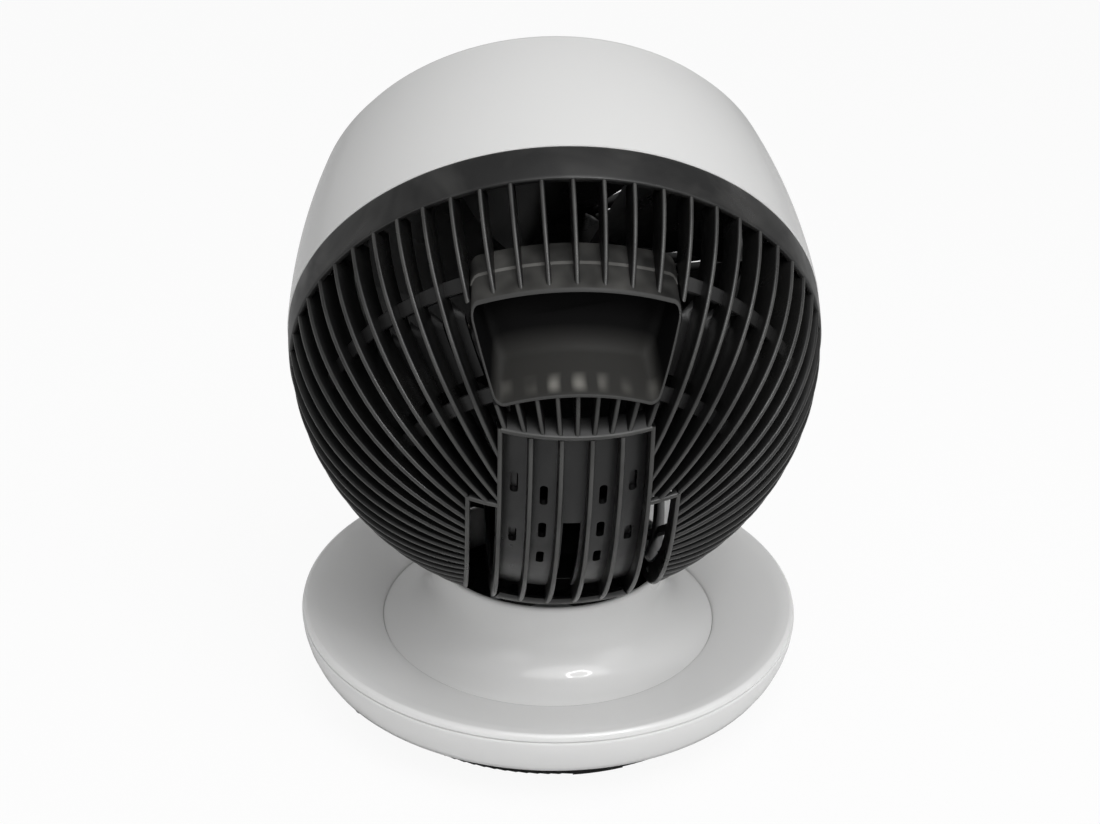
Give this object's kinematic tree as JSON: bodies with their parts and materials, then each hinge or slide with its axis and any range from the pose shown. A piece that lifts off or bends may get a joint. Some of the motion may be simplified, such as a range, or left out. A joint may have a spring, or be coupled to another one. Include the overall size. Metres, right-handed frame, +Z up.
{
  "type": "air circulator fan",
  "caption": "Ball-shaped air circulator fan, white casing and round base, black ribbed rear guard with a finger pocket, swinging and tilting head.",
  "frame": {"origin": "on the ground, on the swing axis under the middle of the round base", "axes": "+Z up along the swing axis; front (the blowing side) towards -Y, the rear guard towards +Y; +X to the left of a viewer in front. At rest the head looks up by 27 degrees."},
  "size_m": [0.2508, 0.2545, 0.3186],
  "materials": {
    "white_shell": "satin",
    "black_plastic": "fine grain",
    "panel_black": "polished",
    "soft_rubber": "matte",
    "zinc_steel": "zinc plated",
    "iron_weight": "painted",
    "motor_alloy": "cast",
    "motor_dark": "varnished laminations",
    "white_nylon": "moulded",
    "bearing_steel": "ground",
    "green_board": "lacquered"
  },
  "bodies": {
    "base": {"base_cover": "white_shell", "base_tray": "black_plastic", "rubber_feet": "soft_rubber", "base_screws": "zinc_steel", "base_weight": "iron_weight", "control_panel": "panel_black", "control_board": "green_board", "lead_gland": "black_plastic", "swivel_bush": "white_nylon", "swing_ring": "white_nylon"},
    "turret": {"turntable": "black_plastic", "swivel_retainer": "white_nylon", "pedestal": "white_shell", "yoke_arm_left": "black_plastic", "yoke_arm_right": "black_plastic", "yoke_screws": "zinc_steel", "pivot_bushes": "white_nylon", "tilt_sector": "white_nylon", "swing_motor": "motor_alloy"},
    "swing_pinion": {"swing_pinion": "white_nylon"},
    "head": {"front_housing": "white_shell", "air_duct": "black_plastic", "head_screws": "zinc_steel", "rear_grille": "black_plastic", "handle_pocket": "black_plastic", "rear_panel": "black_plastic", "drive_housing": "black_plastic", "pivot_pins": "white_nylon", "tilt_motor": "motor_alloy", "motor_rear_can": "motor_alloy", "motor_front_can": "motor_alloy", "motor_bearings": "bearing_steel", "stator": "motor_dark", "front_grille": "black_plastic", "front_cap": "black_plastic"},
    "tilt_pinion": {"tilt_pinion": "white_nylon"},
    "impeller": {"impeller": "black_plastic", "motor_shaft": "bearing_steel", "rotor": "motor_dark", "impeller_nut": "black_plastic"},
    "button_power": {"button_power": "black_plastic"},
    "button_speed": {"button_speed": "black_plastic"},
    "button_swing": {"button_swing": "black_plastic"},
    "button_tilt": {"button_tilt": "black_plastic"},
    "button_timer": {"button_timer": "black_plastic"}
  },
  "joints": [
    {"name": "head_swing", "type": "hinge", "parent": "base", "child": "turret", "pos_m": [0, 0, 0.022], "axis": [0, 0, 1], "range_deg": [-45, 45]},
    {"name": "swing_pinion_turn", "type": "hinge", "parent": "turret", "child": "swing_pinion", "pos_m": [0, 0.0345, 0.022], "axis": [0, 0, 1], "range_deg": [-165, 165]},
    {"name": "head_tilt", "type": "hinge", "parent": "turret", "child": "head", "pos_m": [0, 0, 0.1793], "axis": [-1, 0, 0], "range_deg": [-27, 63]},
    {"name": "tilt_pinion_turn", "type": "hinge", "parent": "head", "child": "tilt_pinion", "pos_m": [-0.0321, 0.02673, 0.16568], "axis": [-1, 0, 0], "range_deg": [-110, 254]},
    {"name": "fan_spin", "type": "hinge", "parent": "head", "child": "impeller", "pos_m": [0, 0, 0.1793], "axis": [0, -0.891, 0.454], "continuous": true},
    {"name": "press_power", "type": "slide", "parent": "base", "child": "button_power", "axis": [0, 0, -1], "range_m": [0, 0.0008], "stiffness_N_per_m": 400, "springref_m": -0.0006},
    {"name": "press_speed", "type": "slide", "parent": "base", "child": "button_speed", "axis": [0, 0, -1], "range_m": [0, 0.0008], "stiffness_N_per_m": 400, "springref_m": -0.0006},
    {"name": "press_swing", "type": "slide", "parent": "base", "child": "button_swing", "axis": [0, 0, -1], "range_m": [0, 0.0008], "stiffness_N_per_m": 400, "springref_m": -0.0006},
    {"name": "press_tilt", "type": "slide", "parent": "base", "child": "button_tilt", "axis": [0, 0, -1], "range_m": [0, 0.0008], "stiffness_N_per_m": 400, "springref_m": -0.0006},
    {"name": "press_timer", "type": "slide", "parent": "base", "child": "button_timer", "axis": [0, 0, -1], "range_m": [0, 0.0008], "stiffness_N_per_m": 400, "springref_m": -0.0006}
  ],
  "couplings": [
    {"joint": "swing_pinion_turn", "follows": "head_swing", "ratio": 3.6},
    {"joint": "tilt_pinion_turn", "follows": "head_tilt", "ratio": 4}
  ]
}
